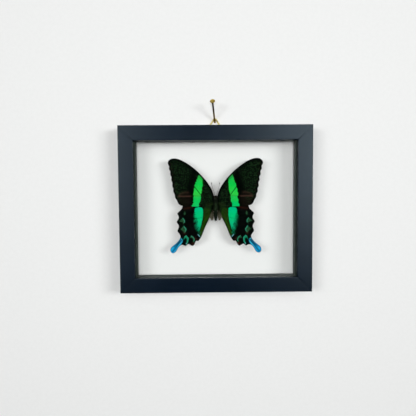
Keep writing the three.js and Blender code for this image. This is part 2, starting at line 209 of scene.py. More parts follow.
def turned(profile, origin, axis, sides):
    """A lathe shape: profile is (radius, distance along the axis from the origin)."""
    axis = unit(np.asarray(axis, float))
    normal = unit(np.cross(axis, ASKEW))
    flat = circle(normal, np.cross(axis, normal), sides)
    return skin([np.asarray(origin) + flat * max(radius, 0.01) + axis * along for radius, along in profile])


def ellipsoid(centre, radii, rows=18, sides=24):
    flat = circle((1, 0, 0), (0, 1, 0), sides)
    polar = np.linspace(0.06, math.pi - 0.06, rows)
    return skin([(flat * math.sin(t) + (0, 0, math.cos(t))) * radii + centre for t in polar])


def show(name, data):
    """A new object in the scene."""
    thing = bpy.data.objects.new(name, data)
    bpy.context.scene.collection.objects.link(thing)
    return thing


def set_values(piece, name, values):
    """Keeps a number or a vector for each vertex, for the materials to read."""
    values = np.asarray(values, np.float32)
    kind, field = ("FLOAT", "value") if values.ndim == 1 else ("FLOAT_VECTOR", "vector")
    piece.data.attributes.new(name, kind, "POINT").data.foreach_set(field, values.ravel())


def make_object(name, vertices, faces, material, sharp=40):
    """A smooth object from millimetre vertices, with its faces turned outward."""
    mesh = bpy.data.meshes.new(name)
    mesh.from_pydata((np.asarray(vertices) * MM).tolist(), [], faces)
    shell = bmesh.new()
    shell.from_mesh(mesh)
    bmesh.ops.recalc_face_normals(shell, faces=shell.faces)
    shell.to_mesh(mesh)
    shell.free()
    mesh.shade_smooth()
    mesh.set_sharp_from_angle(angle=math.radians(sharp))
    mesh.materials.append(material)
    return show(name, mesh)


def settle(piece, body, slot, *nodes):
    """Makes a finished piece ride on its body and stand for its CAD nodes."""
    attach(piece, body)
    if nodes:
        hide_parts(*nodes)


def weigh_normals(piece):
    modifier = piece.modifiers.new("weighted", "WEIGHTED_NORMAL")
    modifier.keep_sharp = True
    modifier.weight = 80


def box_of(node):
    return [np.array(corner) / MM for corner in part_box(node)]


# ---- node materials ------------------------------------------------------------------
def rgb(red, green, blue):
    """An 8-bit sRGB colour as linear RGBA."""
    shares = [value / 255 for value in (red, green, blue)]
    return (*(v / 12.92 if v <= 0.04045 else ((v + 0.055) / 1.055) ** 2.4 for v in shares), 1.0)


class Nodes:
    """Builds a node tree. A text given as a value stands for a mesh attribute of that name."""

    def __init__(self, tree):
        self.tree = tree
        tree.nodes.clear()

    def add(self, kind, sockets=(), **settings):
        node = self.tree.nodes.new("ShaderNode" + kind)
        for name, value in settings.items():
            setattr(node, name, value)
        for socket, value in dict(sockets).items():
            self.plug(node.inputs[socket], value)
        return node

    def plug(self, socket, value):
        if isinstance(value, str):
            value = self.add("Attribute", attribute_name=value).outputs["Fac"]
        if isinstance(value, bpy.types.NodeSocket):
            self.tree.links.new(value, socket)
        else:
            socket.default_value = value

    def math(self, operation, a, b, clamp=False):
        return self.add("Math", {0: a, 1: b}, operation=operation, use_clamp=clamp).outputs[0]

    def chain(self, operation, values):
        result = values[0]
        for value in values[1:]:
            result = self.math(operation, result, value)
        return result

    def times(self, *values):
        return self.chain("MULTIPLY", values)

    def plus(self, *values):
        return self.chain("ADD", values)

    def invert(self, value):
        return self.math("SUBTRACT", 1.0, value, clamp=True)

    def step(self, value, low, high, to_low=0.0, to_high=1.0):
        sockets = {0: value, 1: low, 2: high, 3: to_low, 4: to_high}
        return self.add("MapRange", sockets, interpolation_type="SMOOTHSTEP").outputs[0]

    def mix(self, factor, a, b):
        return self.add("Mix", {0: factor, 6: a, 7: b}, data_type="RGBA").outputs[2]

    def layers(self, colour, *coats):
        """Lays coats over a colour. Each coat is (how much, colour)."""
        for share, coat in coats:
            colour = self.mix(share, colour, coat)
        return colour

    def place(self):
        return self.add("TexCoord").outputs["Object"]

    def noise(self, scale, detail, along=None, rough=0.5):
        """Noise over the piece, or over a vector attribute."""
        place = self.add("Attribute", attribute_name=along).outputs["Vector"] if along else self.place()
        sockets = {"Vector": place, "Scale": scale, "Detail": detail, "Roughness": rough}
        return self.add("TexNoise", sockets).outputs[0]

    def cells(self, scale):
        return self.add("TexVoronoi", {"Vector": self.place(), "Scale": scale}).outputs["Distance"]

    def ramp(self, value, stops):
        node = self.add("ValToRGB", {0: value})
        elements = node.color_ramp.elements
        while len(elements) < len(stops):
            elements.new(0.5)
        for element, (position, colour) in zip(elements, stops):
            element.position = position
            element.color = rgb(*colour)
        return node.outputs[0]

    def bump(self, height, strength, distance, **below):
        sockets = {"Strength": strength, "Distance": distance, "Height": height, **below}
        return self.add("Bump", sockets).outputs[0]


class Shader(Nodes):
    """One node material round a Principled surface."""

    def __init__(self, name, **surface):
        self.material = bpy.data.materials.new(name)
        self.material.use_nodes = True
        super().__init__(self.material.node_tree)
        self.surface = self.add("BsdfPrincipled")
        self.output = self.add("OutputMaterial", {"Surface": self.surface.outputs[0]})
        self.feed(**surface)

    def feed(self, **sockets):
        for name, value in sockets.items():
            self.plug(self.surface.inputs[name.replace("_", " ")], value)
        return self.material

    def clear_by(self, share, colour=(1, 1, 1, 1)):
        """Lets light straight through the surface, as far as share says."""
        clear = self.add("BsdfTransparent", {0: colour}).outputs[0]
        blend = self.add("MixShader", {0: share, 1: self.surface.outputs[0], 2: clear})
        self.plug(self.output.inputs["Surface"], blend.outputs[0])


def painted_wood():
    s = Shader("satin_painted_wood", Specular_Tint=(0.73, 0.9, 1.0, 1.0))
    grain = s.noise(1.4, 4, "grain")
    worn = s.times(s.step("rim", 0, 0.5, 0.3, 0), s.step(s.noise(900, 3), 0.5, 0.75))
    colour = s.layers(
        rgb(3, 14, 26),
        (s.step(s.noise(60, 3), 0.3, 0.7), rgb(6, 18, 31)),
        (s.step(grain, 0.5, 0.75, 0, 0.12), rgb(2, 10, 20)),
        (worn, rgb(64, 72, 80)),
    )
    return s.feed(
        Base_Color=colour,
        Specular_IOR_Level=s.step("lip", 0, 1, 0.5, 0.1),
        Roughness=s.step(s.noise(300, 3), 0.25, 0.75, 0.2, 0.25),
        Normal=s.bump(grain, 0.05, 0.0001, Normal=s.bump(s.noise(1500, 2), 0.1, 0.00006)),
    )


def stained_wood(name, dark, light, roughness):
    s = Shader(name, Roughness=roughness, Specular_IOR_Level=0.06)
    grain = s.noise(2.2, 5, "grain", 0.6)
    pores = s.step(s.noise(9, 2, "grain"), 0.58, 0.7, 0, 0.4)
    colour = s.layers(light, (s.step(grain, 0.35, 0.68), dark), (pores, dark))
    return s.feed(Base_Color=colour, Normal=s.bump(grain, 0.25, 0.00012))


def clear_glass():
    """Plain glass that lets lamps and bounced light through, so that it casts no caustics."""
    s = Shader("clear_glass_pane", Transmission_Weight=1.0, IOR=1.15, Roughness=0.0)
    path = s.add("LightPath").outputs
    through = s.math("MAXIMUM", path["Is Shadow Ray"], path["Is Diffuse Ray"])
    s.clear_by(through, (0.996, 0.998, 0.997, 1.0))
    return s.feed(Base_Color=(0.997, 1.0, 0.998, 1.0), Normal=s.bump(s.noise(45, 4), 0.003, 0.0002))


def clear_glue():
    s = Shader("clear_set_glue", Transmission_Weight=0.85, IOR=1.49, Roughness=0.12)
    cloud = s.noise(900, 3)
    colour = s.mix(cloud, rgb(236, 232, 214), rgb(248, 246, 236))
    return s.feed(Base_Color=colour, Normal=s.bump(cloud, 0.3, 0.0001))


def brass(name, bright, tarnish, roughness):
    s = Shader(name, Metallic=1.0, Specular_Tint=(0.9, 0.78, 0.42, 1.0))
    patina = s.noise(420, 4, rough=0.6)
    return s.feed(
        Base_Color=s.mix(s.step(patina, 0.42, 0.7), bright, tarnish),
        Roughness=s.step(patina, 0.3, 0.75, roughness, roughness + 0.16),
        Normal=s.bump(s.noise(2600, 2), 0.12, 0.00004),
    )


def nail_brass():
    """Gold on the head, with painted dark reflection on the shaft below it, lighter towards the wall."""
    s = Shader("nail_brass_fine", Specular_IOR_Level=0.15, Specular_Tint=(0.8, 0.56, 0.2, 1.0))
    patina = s.noise(420, 4, rough=0.6)
    head = s.mix(s.step(patina, 0.42, 0.7), rgb(206, 182, 96), rgb(140, 114, 48))
    # Painted dark reflection: a mottled dark brown with the metal turned down stands in for the dark room
    # that the shaft mirrors. It fades out towards the wall.
    painted_reflection_colour = s.mix(s.step(patina, 0.35, 0.65), rgb(44, 28, 6), rgb(14, 8, 2))
    painted_reflection_share = s.times("near_head", s.invert("head"))
    return s.feed(
        Base_Color=s.layers(rgb(150, 124, 58), (painted_reflection_share, painted_reflection_colour), ("head", head)),
        Metallic=s.invert(painted_reflection_share),
        Roughness=s.step(patina, 0.3, 0.75, 0.24, 0.4),
        Normal=s.bump(s.noise(2600, 2), 0.12, 0.00004),
    )


def wing_grain(s):
    """Rows of scales: fine cells along the wing plus soft streaks from the root."""
    streaks = s.noise(1.1, 3, "flow")
    scales = s.cells(5200)
    height = s.plus(s.times(scales, 0.6), s.times(streaks, 0.7))
    s.feed(Normal=s.bump(height, 0.22, 0.00006), Roughness=s.step(scales, 0.2, 0.8, 0.5, 0.66))
    return streaks, scales


# The bands' colours from the hind end forward, by the "along" attribute.
FOREWING_BAND_STOPS = [
    (0.04, (0, 206, 116)), (0.15, (4, 202, 96)), (0.245, (30, 204, 84)), (0.30, (52, 214, 72)),
    (0.40, (30, 212, 74)), (0.50, (10, 206, 74)), (0.60, (30, 190, 76)), (0.66, (52, 168, 80)),
    (0.72, (60, 140, 72)),
]
HINDWING_BAND_STOPS = [
    (0.06, (0, 104, 72)), (0.16, (4, 146, 100)), (0.34, (8, 176, 120)), (0.46, (10, 182, 121)),
    (0.54, (6, 191, 117)), (0.72, (0, 192, 116)), (0.88, (0, 188, 128)),
]


def forewing_scales():
    s = Shader("forewing_scales_fine", Specular_IOR_Level=0.05)
    streaks, scales = wing_grain(s)
    fleck = s.noise(680, 2)
    grain = s.noise(2400, 1)
    ground = s.layers(
        rgb(1, 4, 2),
        (s.times("dust", s.step(fleck, 0.46, 0.62), s.step(grain, 0.38, 0.6, 0.45, 1)), rgb(26, 50, 26)),
        (s.times("olive", s.step(fleck, 0.35, 0.6, 0.4, 1)), rgb(28, 42, 18)),
        (s.times("brown", s.step(streaks, 0.2, 0.6, 0.6, 1)), rgb(66, 46, 38)),
    )
    band = s.layers(
        s.ramp("along", FOREWING_BAND_STOPS),
        (s.step(s.noise(240, 3), 0.42, 0.62, 0, 0.35), rgb(52, 206, 66)),
        (s.step(streaks, 0.25, 0.75, 0, 0.3), rgb(0, 150, 52)),
        (s.step(scales, 0.35, 0.7, 0, 0.25), rgb(0, 120, 50)),
        (s.times("ochre", 0.55), rgb(56, 140, 50)),
        (s.step("mark", 0.22, 0.62, 0.95, 0), rgb(8, 60, 22)),
        (s.step("faint", 0.15, 0.6, 0.6, 0), rgb(14, 84, 34)),
    )
    ragged = s.step(s.noise(640, 3), 0.3, 0.7, -0.5, 0.45)
    top = s.layers(
        ground,
        (s.step(s.plus("band", ragged), -0.1, 0.16), band),
        (s.step("rim", 1.1, 2.5, 1, 0), rgb(2, 3, 3)),
    )
    pale = s.times(s.step("band", -11, -6), s.step("band", -4, -1, 1, 0))
    under = s.layers(
        rgb(26, 22, 18),
        (s.times(pale, s.step(streaks, 0.3, 0.7, 0.2, 0.75)), rgb(112, 102, 86)),
        (s.step("vein", 0.15, 0.4, 1, 0), rgb(14, 12, 10)),
    )
    return s.feed(Base_Color=s.mix("side", top, under))


def hindwing_scales():
    s = Shader("hindwing_scales_fine", Specular_IOR_Level=0.05)
    streaks = wing_grain(s)[0]
    ragged = s.noise(1100, 3)
    hairs = s.noise(3.2, 2, "flow")
    rays = s.noise(1.2, 3, "flow")

    def frayed(field, amount, low, high):
        """How far inside a spot with a ragged edge each point lies."""
        return s.step(s.plus(field, s.step(ragged, 0, 1, -amount, amount)), low, high)

    olive = s.times("olive", s.step(rays, 0.38, 0.58, 0.3, 1), s.step(hairs, 0.36, 0.6, 0.5, 1))
    ground = s.layers(
        rgb(2, 4, 3),
        (s.times("dust", s.step(s.noise(1900, 2), 0.42, 0.62)), rgb(26, 50, 20)),
        (olive, rgb(42, 78, 14)),
        ("brown", rgb(60, 28, 20)),
    )
    band = s.layers(
        s.ramp("along", HINDWING_BAND_STOPS),
        (s.step(streaks, 0.3, 0.75, 0, 0.25), rgb(0, 150, 84)),
        (s.step("mark", 0.12, 0.5, 0.7, 0), rgb(0, 104, 66)),
        (s.times("feather", s.step("band", -3.6, 2.4, 0.9, 0)), rgb(10, 62, 42)),
    )
    feather = s.times("feather", s.step(rays, 0.36, 0.64, -3.2, 3))
    crisp = s.times(s.invert("feather"), s.step(ragged, 0, 1, -0.4, 0.4))
    lunule = s.mix(s.step(ragged, 0.4, 0.62), rgb(16, 50, 32), rgb(46, 86, 54))
    sky = s.mix(s.step(ragged, 0.35, 0.7), rgb(6, 104, 66), rgb(24, 128, 92))
    blue = s.layers(
        rgb(44, 158, 188),
        ("tail_run", rgb(22, 150, 204)),
        (s.step(streaks, 0.3, 0.7, 0, 0.35), rgb(52, 172, 214)),
        (s.step("rib", 0.3, 0.8, 0.9, 0), rgb(0, 26, 56)),
        (s.step("edge", 0.25, 0.85, 0.85, 0), rgb(4, 48, 84)),
    )
    silk = s.mix("pale", rgb(40, 42, 28), rgb(112, 108, 90))
    top = s.layers(
        ground,
        (s.step(s.plus("band", feather, crisp), -0.15, 0.3), band),
        (frayed("green", 0.35, -0.15, 0.45), s.mix("glow", lunule, rgb(56, 158, 124))),
        (frayed("teal", 0.2, 0.1, 0.5), s.mix("glow", sky, rgb(54, 180, 146))),
        ("eye", rgb(2, 3, 3)),
        (s.step("glint", 0.25, 0.62, 1, 0), rgb(104, 168, 176)),
        (s.step("edge", 0.5, 1.3, 1, 0), rgb(2, 4, 3)),
        (s.step("tail", -0.2, 0.25), blue),
        ("fold", s.mix(s.step(hairs, 0.36, 0.6), rgb(26, 25, 17), silk)),
    )
    under = s.layers(
        rgb(24, 20, 16),
        (s.step(streaks, 0.3, 0.7, 0, 0.4), rgb(66, 58, 48)),
        (s.step("green", -0.6, 0.4, 0, 0.85), rgb(168, 96, 44)),
        (s.step("teal", -0.5, 0.4, 0, 0.85), rgb(150, 142, 168)),
        (s.step("vein", 0.12, 0.4, 1, 0), rgb(12, 10, 8)),
        (s.step("tail", -0.2, 0.25), rgb(20, 30, 44)),
    )
    return s.feed(Base_Color=s.mix("side", top, under))


def insect_skin():
    s = Shader("insect_chitin", Specular_IOR_Level=0.2)
    colour = s.mix(s.step(s.noise(1500, 3), 0.4, 0.65), rgb(5, 8, 5), rgb(16, 28, 16))
    return s.feed(
        Base_Color=s.mix("eye", colour, rgb(30, 20, 14)),
        Roughness=s.step("eye", 0, 1, 0.6, 0.28),
        Normal=s.bump(s.cells(6000), 0.25, 0.00004),
    )


def fine_hair(name, dark, light):
    s = Shader(name, Roughness=0.6, Specular_IOR_Level=0.1)
    tint = s.times("tint", s.step(s.noise(900, 2), 0.3, 0.6, 0.5, 1))
    return s.feed(Base_Color=s.mix(tint, dark, light))


# ---- frame, panes, spacers and retaining strips --------------------------------------
def moulding_section():
    """Points round a rail's section: (distance in from the outer edge, depth)."""
    r = EDGE_RADIUS
    small = BACK_RADIUS
    lip_back = FRONT_Y + LIP_THICKNESS
    rabbet = RAIL_FACE - LIP_REACH
    section = arc((small, BACK_Y - small), small, 90, 180, 3)
    section += [(0, -15)]
    section += arc((r, FRONT_Y + r), r, 180, 270, 8)
    section += [(RAIL_FACE / 2, FRONT_Y)]
    section += arc((RAIL_FACE - r, FRONT_Y + r), r, 270, 360, 8)
    section += arc((RAIL_FACE - small, lip_back - small), small, 0, 90, 3)
    section += [(rabbet, lip_back)]
    section += arc((rabbet - small, BACK_Y - small), small, 0, 90, 3)
    return np.array(section)


def make_rails(material):
    section = moulding_section()
    across, deep = section.T
    inward = normals_of(np.roll(section, -1, axis=0) - np.roll(section, 1, axis=0))
    inward *= np.sign(((section.mean(0) - section) * inward).sum(1))[:, None]
    gap = MITRE_GAP + MITRE_OPENING * ease(across, RAIL_FACE - LIP_REACH, RAIL_FACE)
    flat = np.abs(across - RAIL_FACE / 2) < RAIL_FACE / 2 - EDGE_RADIUS * 1.2
    rim = np.where(flat | (deep > -22), 3.0, 0.2)
    half = FRAME_WIDTH / 2
    rails = {
        "frame_top": (FRAME_WIDTH, lambda s, y, a: (a, y, FRAME_TOP - s)),
        "frame_bottom": (FRAME_WIDTH, lambda s, y, a: (-a, y, FRAME_TOP - FRAME_HEIGHT + s)),
        "frame_left": (FRAME_HEIGHT, lambda s, y, a: (-half + s, y, FRAME_MIDDLE + a)),
        "frame_right": (FRAME_HEIGHT, lambda s, y, a: (half - s, y, FRAME_MIDDLE - a)),
    }
    for order, (name, (length, place)) in enumerate(rails.items()):
        rings = []
        grain = []
        for sign, stations in ((-1, MITRE_RINGS), (1, MITRE_RINGS[::-1])):
            for back, shrink in stations:
                ring = section + inward * shrink
                along = sign * (length / 2 - across - gap - back)
                rings.append(np.column_stack(place(*ring.T, along)))
                grain.append(np.column_stack([along * 0.02 + order * 7, ring]))
        piece = make_object(name + "_moulding", *skin(rings), material, 60)
        set_values(piece, "rim", np.tile(rim, len(rings)))
        set_values(piece, "lip", np.tile(across > RAIL_FACE - 0.1, len(rings)))
        set_values(piece, "grain", np.vstack(grain))
        weigh_normals(piece)
        settle(piece, SPECIMEN, "painted_wood", name)


def bevelled_block(node, bevel, material, slot, along_axis=0, order=0):
    """A block with rounded arrises in the place of a CAD node."""
    low, high = box_of(node)
    shell = bmesh.new()
    bmesh.ops.create_cube(shell, size=1)
    for vertex in shell.verts:
        vertex.co = Vector((np.array(vertex.co) + 0.5) * (high - low) + low)
    rounding = dict(offset=bevel, segments=3, profile=0.6, affect="EDGES", clamp_overlap=True)
    bmesh.ops.bevel(shell, geom=shell.edges[:], **rounding)
    shell.verts.index_update()
    points = np.array([vertex.co for vertex in shell.verts])
    faces = [[vertex.index for vertex in face.verts] for face in shell.faces]
    shell.free()
    piece = make_object(node + "_fine", points, faces, material, 180)
    grain = np.roll(points, -along_axis, axis=1) * (0.005, 1, 1) + (order * 5.0, 0, 0)
    set_values(piece, "grain", grain)
    weigh_normals(piece)
    settle(piece, SPECIMEN, slot, node)


def make_stack(glass, spacer, retainer):
    for node in ("front_glass", "back_glass"):
        bevelled_block(node, 0.15, glass, "clear_glass")
    for order, side in enumerate(("top", "bottom", "left", "right")):
        axis = 0 if side in ("top", "bottom") else 2
        bevelled_block(f"spacer_{side}", 0.3, spacer, "spacer_wood", axis, order)
        bevelled_block(f"retainer_{side}", 0.4, retainer, "retainer_wood", axis, order + 4)


# ---- wings ---------------------------------------------------------------------------
FOREWING_LEADING = [
    (1.6, 9), (1.7, 12.8), (2.6, 17), (4.5, 22), (7.3, 26.7), (11.1, 32.1), (17, 38.7),
    (20.8, 42.5), (25.1, 46.1), (29.3, 49.2), (33.6, 51.9), (37.8, 54.1), (41.7, 55.5),
    (45.9, 56), (49.2, 55.4), (51.4, 53.8),
]
FOREWING_TRAILING = [
    (1.6, 5.4), (6, 4), (10.5, 3), (16.8, 2.5), (25.9, 3), (36.2, 3.7), (39.2, 4.6),
    (41.4, 6.4), (42.9, 9.9), (45, 13.2), (45.1, 16.3), (46.8, 19.4), (46.5, 22.6),
    (47.9, 25.8), (47.5, 29), (48.9, 32.2), (48.5, 35.3), (50, 38.4), (49.7, 41.5),
    (51.3, 44.4), (51, 47.3), (52.5, 50.2), (52.3, 52.4),
]
FREE_FROM = 6
HINDWING_LEADING = [
    (2.2, 5.2), (6, 6.6), (12, 9.2), (20, 10.2), (28, 9), (33.6, 6.6), (36.6, 3.2), (37.5, 0.6),
    (39.9, -1.9), (42.6, -4.9), (41.4, -7.6), (41.2, -10.1), (43.3, -14.2), (41.4, -17.6),
    (41.2, -20), (42.6, -24.6), (40.6, -27.5), (39.3, -30.8), (42.4, -36.2), (46.6, -39.9),
    (49.9, -42.8), (50.9, -46.1), (49.6, -48.7),
]
HINDWING_TRAILING = [
    (2.1, 0.6), (2.1, -3), (2.2, -7), (2.8, -10.4), (3.6, -12.4), (4.8, -12.2), (5.6, -10.2),
    (6.5, -9.6), (7.8, -11.6), (9.7, -15.5), (12.1, -20.7), (14.6, -26.9),
    (16.7, -31.5), (18.4, -34.3), (20.2, -35.8), (21.9, -35.4), (23, -37.2), (24.2, -39.7),
    (26.1, -41.1), (28.4, -40.1), (30.4, -39), (32.1, -39.8), (33.8, -41.1), (35.6, -40.2),
    (37.8, -39.8), (40.8, -41.6), (42.9, -44.5), (45, -47.9), (47.9, -49.5),
]
WING_ROOT = (3, 5)
# Ribs along a wing's margins, and faces from the leading to the trailing one.
FOREWING_SIZE = (230, 96)
HINDWING_SIZE = (270, 74)

FOREWING_BAND = [
    (18.6, 41.5), (18.6, 37.6), (20.1, 34.8), (20.6, 32), (21.9, 29.2), (23.2, 26), (24, 22.1),
    (25, 16.8), (24.3, 13.3), (25.1, 9.7), (24.6, 7.1), (26.7, 4.2), (27, 1.5), (18.8, 1.5),
    (18.7, 2.7), (18.1, 6.2), (17.3, 7.9), (16.6, 11.4), (16.2, 16), (15.1, 20.6), (14.7, 24.9),
    (14, 29.8), (14.5, 33.3), (14.6, 37),
]
FOREWING_VEINS = [
    [(3.6, 10.5), (5.5, 19.5), (9.5, 27.5), (14.7, 32.9), (19.5, 36.6), (25, 40), (30, 43)],
    [(14, 32.4), (24, 45.2)],
    [(21, 37.6), (32, 51)],
    [(28, 41.8), (41, 55.2)],
    [(30, 42), (47, 55.6)],
    [(30, 42), (52.5, 50.2)],
    [(31, 40.5), (51.3, 44.4)],
    [(31.4, 37.8), (50, 38.4)],
    [(29.8, 34.2), (48.9, 32.2)],
    [(30, 42), (31, 38.5), (29.5, 34)],
    [(3.6, 8.6), (9, 10.8), (16.9, 16.4), (23.5, 25.3), (29.5, 34)],
    [(24.5, 26.8), (47.2, 24.5)],
    [(12.5, 12.6), (17, 14.6), (24.3, 14.9), (33, 14.6), (45.4, 15.6)],
    [(3.6, 7), (20, 5), (41.4, 6.4)],
]
FOREWING_DARK_VEIN = [(23.5, 25.3), (20.2, 20.6), (16.9, 16.4)]
FOREWING_FAINT_VEIN = [(19.3, 35.8), (14.7, 32.6)]
FOREWING_CROSS_VEIN = [(16.5, 14.9), (24.3, 14.9)]
SCENT_STREAK = [(25.7, 14.3), (40.3, 14.3)]
SCENT_DOME = [(41, 14.3), (39.6, 16.2), (37, 17.8), (34, 18.6), (30.6, 18.6)]
SCENT_PATCH = SCENT_DOME + [(28, 19), (27, 13.4), (40.3, 13.4)]
MARGIN_DOTS = [(49.4, 50), (48.8, 44.5), (47.6, 38.5), (46.6, 32.5), (45.5, 26.5), (44.3, 20.5)]

HINDWING_BAND = [
    (22.8, 1.2), (20.6, 2), (17, 2), (15.2, 1.6), (14.2, 0.4), (14, -3.2), (14, -6.9), (14.6, -11),
    (15.8, -16.4), (17.3, -21.8), (18.4, -25.6), (19.2, -26.6), (19.9, -23.4), (21.2, -19.4),
    (22, -14.4), (22.9, -9.4), (23.5, -4.8), (23.4, -0.8),
]
# The band frays outward of this line: (distance down, x).
FRAYED_FROM = [(0, 10, 19, 27), (20, 19.6, 17.8, 16.2)]
HINDWING_VEINS = [
    [(5, 5), (20, 9.5), (36, 3.5)],
    [(4, 3), (12, 4), (20, 1), (28, 1), (38.5, -1)],
    [(23, -2), (41.3, -8.9)],
    [(24, -6.5), (41.3, -18.8)],
    [(22.5, -10), (39.3, -31), (45, -41), (48.8, -47)],
    [(20.3, -10.9), (30.4, -39)],
    [(13, -8), (22.9, -37.2)],
    [(4, -1), (8, -9), (12, -20), (16.7, -31.5)],
    [(4, 0), (9, -4), (14.9, -8.9), (20.3, -10.6)],
    [(24, -4), (22, -10)],
]
HINDWING_DARK_VEIN = [(14.9, -8.9), (17.6, -9.9), (20.3, -10.6), (24.2, -10.9)]
GREEN_LUNULES = [
    [(34.2, -1.5), (35.8, -4.8), (34.8, -7.5), (33, -5.2)],
    [(41.1, -13.6), (36.3, -9.4), (34.2, -12.6), (34.4, -14.8), (36.6, -17), (36.4, -14.9), (38.2, -14.2)],
    [
        (39.7, -22.6), (35.4, -18.4), (32.4, -22.4), (33.6, -25.2), (35, -27.5), (36.2, -25.4),
        (37.6, -23.6),
    ],
    [
        (29.5, -32.5), (27.5, -29.4), (25.6, -30.4), (23.4, -33.3), (24, -35.8), (25.6, -37.9),
        (25.2, -35), (26, -32.9), (27.7, -32.1),
    ],
]
TEAL_LUNULE = [
    (36.4, -33.7), (35, -30.4), (33.2, -28.8), (30.1, -32.1), (30.7, -36.2), (32.6, -40.4),
    (34, -39.5), (32.8, -36.2), (32.6, -33.3), (34, -32.5), (35.8, -34.6),
]
LUNULE_RIMS = [
    [(36.3, -9.4), (34.2, -12.6), (34.4, -14.8)],
    [(35.4, -18.4), (32.4, -22.4), (33.6, -25.2)],
    [(27.5, -29.4), (25.6, -30.4), (23.4, -33.3), (24, -35.8)],
    [(35, -30.4), (33.2, -28.8), (30.1, -32.1), (30.7, -36.2), (32.6, -40.4)],
]
BLUE_GLINT = [(33.2, -22.6), (34.6, -19.8)]
TAIL = [
    (40.2, -32.6), (42.8, -36), (46.9, -39.6), (50.3, -42.6), (51.6, -46.2), (50, -49.2),
    (47.9, -50.2), (44.8, -48.3), (42.5, -44.5), (40.6, -41.6), (38.4, -38.6), (36.9, -35.6),
    (37.2, -33.8), (38.6, -32.6),
]
TAIL_LINES = [
    [(39.2, -34), (41.6, -37.3), (44.1, -39.9), (46.4, -42)],
    [(37.8, -34.4), (38.7, -35.4), (42.5, -39.9), (44.4, -42.4), (48.5, -47.5)],
]
EYE_SPOT = (20.3, -30.4)
EYE_RADIUS = 2.9
GLINTS = [[(19.9, -28.4), (17.7, -30.8)], [(32.7, -39.9), (33, -38.2)]]
# The fold's edge: (distance down, x).
FOLD_EDGE = [(0, 2.4, 6, 9.7, 12), (3.4, 4.8, 6.8, 8, 8)]
OLIVE = [
    (13.6, 0), (13.7, -6), (14.2, -11), (15.3, -16.5), (17, -22.5), (18.4, -27.5), (17.5, -31.5),
    (15.5, -30), (12, -21), (9.3, -15.5), (6.5, -9), (6, -3), (8, 1),
]
RED_SPOTS = [((21.9, -32.5), 1.3, 0.9), ((25.2, -38.6), 1.6, 0.75), ((35, -26.5), 1.5, 0.6)]
COSTAL_STREAK = [(35, 0.55), (30, 1.3), (26, 2.2)]


def arch_y(x):
    return WING_Y + WING_DROOP * (x / ARCH_HALF_SPAN) ** 2


def hindwing_y(x):
    return arch_y(x) + HINDWING_DROP + FOLD_DEPTH * bell(x - FOLD_REACH, FOLD_REACH)


def soft_line(points, line, width):
    return bell(line_distance(points, line), width)


def spot_distance(points, centre):
    return np.hypot(*(points - centre).T)


def edge_of(points, leading, trailing):
    """Distance in from the wing's free margin."""
    return nearest_of(points, [smooth_curve(leading, 170), smooth_curve(trailing, 220)])


def forewing_fields(points):
    x, z = points.T
    band = depth_in(points, FOREWING_BAND)
    distal = ease(x, 20, 23)
    bare = distal * ease(-band, -0.5, 0.4) * (1 - ease(-band, 5.5, 11))
    dome = depth_in(points, SCENT_PATCH)
    low = distal * ease(14 - z, 0, 3) * ease(-band, 1, 4)
    brown = 0.85 * ease(x, 25, 29) * soft_line(points, SCENT_STREAK, 0.8)
    brown += 0.36 * soft_line(points, SCENT_DOME, 1.2)
    brown += 0.07 * low + 0.03 * ease(dome, 0, 1)
    for dot in MARGIN_DOTS:
        brown += 0.2 * bell(spot_distance(points, dot), 1)
    costa = line_distance(points, smooth_curve(FOREWING_LEADING, 170))
    free = line_distance(points, smooth_curve(FOREWING_TRAILING[FREE_FROM:], 170))
    dust = (1 - 0.1 * distal) * (1 - bare) * (1 - 0.6 * low)
    dust *= ease(costa, 1, 4.5) * ease(free, 1, 2.6)
    dust *= 1 - 0.85 * ease(dome, -1, 1)
    return {
        "band": band,
        "edge": edge_of(points, FOREWING_LEADING, FOREWING_TRAILING),
        "rim": np.minimum(costa, free),
        "olive": ease(9.5 - z, 0, 6) * ease(13 - x, 0, 6),
        "vein": nearest_of(points, FOREWING_VEINS),
        "mark": line_distance(points, FOREWING_DARK_VEIN),
        "faint": line_distance(points, FOREWING_FAINT_VEIN),
        "ochre": soft_line(points, FOREWING_CROSS_VEIN, 0.45),
        "brown": np.clip(brown, 0, 1),
        "dust": np.clip(dust, 0, 1),
        "along": np.clip(z / 56, 0, 1),
    }


def hindwing_fields(points):
    x, z = points.T
    outer = ease(x - np.interp(-z, *FRAYED_FROM), 0, 2)
    olive = ease(depth_in(points, round_outline(OLIVE)), -0.8, 1.2)
    brown = 0.4 * soft_line(points, COSTAL_STREAK, 1)
    for centre, width, amount in RED_SPOTS:
        brown += amount * bell(spot_distance(points, centre), width)
    glint_rim = np.minimum(0.45 - line_distance(points, BLUE_GLINT), 0.45)
    return {
        "band": depth_in(points, HINDWING_BAND),
        "feather": outer * (ease(-z, 3, 10) + 0.15),
        "edge": edge_of(points, HINDWING_LEADING, HINDWING_TRAILING),
        "vein": nearest_of(points, HINDWING_VEINS),
        "mark": line_distance(points, HINDWING_DARK_VEIN),
        "green": np.max([depth_in(points, spot) for spot in GREEN_LUNULES], axis=0),
        "teal": np.maximum(depth_in(points, TEAL_LUNULE), glint_rim),
        "glow": bell(nearest_of(points, LUNULE_RIMS), 0.75),
        "eye": ease(EYE_RADIUS - spot_distance(points, EYE_SPOT), 0, 0.9),
        "glint": nearest_of(points, GLINTS),
        "tail": depth_in(points, round_outline(TAIL, 90)),
        "tail_run": ease(x, 38, 46),
        "rib": nearest_of(points, TAIL_LINES),
        "brown": np.clip(brown, 0, 1),
        "olive": olive * (0.45 + 0.4 * ease(-z, 0, 12)),
        "dust": ease(14.5 - x, 0, 2) * ease(z, -7, 0) * ease(x, 3, 6),
        "fold": ease(np.interp(-z, *FOLD_EDGE) - x, 0, 1.6) * ease(-z, 0.5, 3),
        "pale": ease(-z, 1.5, 9.5),
        "along": np.clip((z + 30) / 34, 0, 1),
    }


